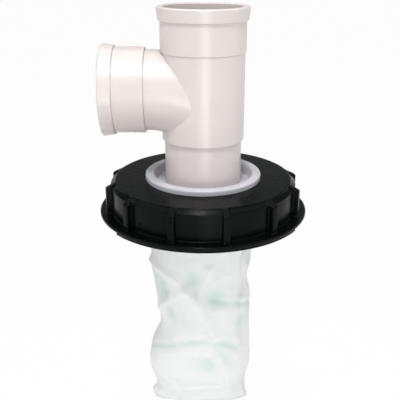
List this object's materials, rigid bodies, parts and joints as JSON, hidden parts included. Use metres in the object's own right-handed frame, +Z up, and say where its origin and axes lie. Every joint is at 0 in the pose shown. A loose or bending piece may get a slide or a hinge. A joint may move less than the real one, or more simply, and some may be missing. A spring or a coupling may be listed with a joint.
{
  "type": "tank lid filter",
  "caption": "Screw lid for a liquid tank's filling neck, with a dished collar that holds a swept pipe tee above it and a hanging mesh filter bag below it.",
  "frame": {"origin": "on the lid's axis, at the lowest edge of the lid, where the tank's thread enters it", "axes": "+Z up along the lid's axis towards the top socket, -X along the side branch, -Y towards the front"},
  "size_m": [0.208, 0.208, 0.43],
  "materials": {
    "lid_plastic": "satin moulded polyethylene, near black",
    "seal_rubber": "matt black rubber",
    "collar_plastic": "satin moulded nylon, cool white",
    "pipe_plastic": "satin hard pipe plastic, warm white",
    "bag_mesh": "fine woven nylon mesh, near white and see-through",
    "hoop_plastic": "satin moulded plastic, white"
  },
  "bodies": {
    "root": {"lid": "lid_plastic", "lid_seal": "seal_rubber", "filter_collar": "collar_plastic", "tee": "pipe_plastic", "filter_bag": "bag_mesh", "bag_hoop": "hoop_plastic"}
  },
  "joints": []
}
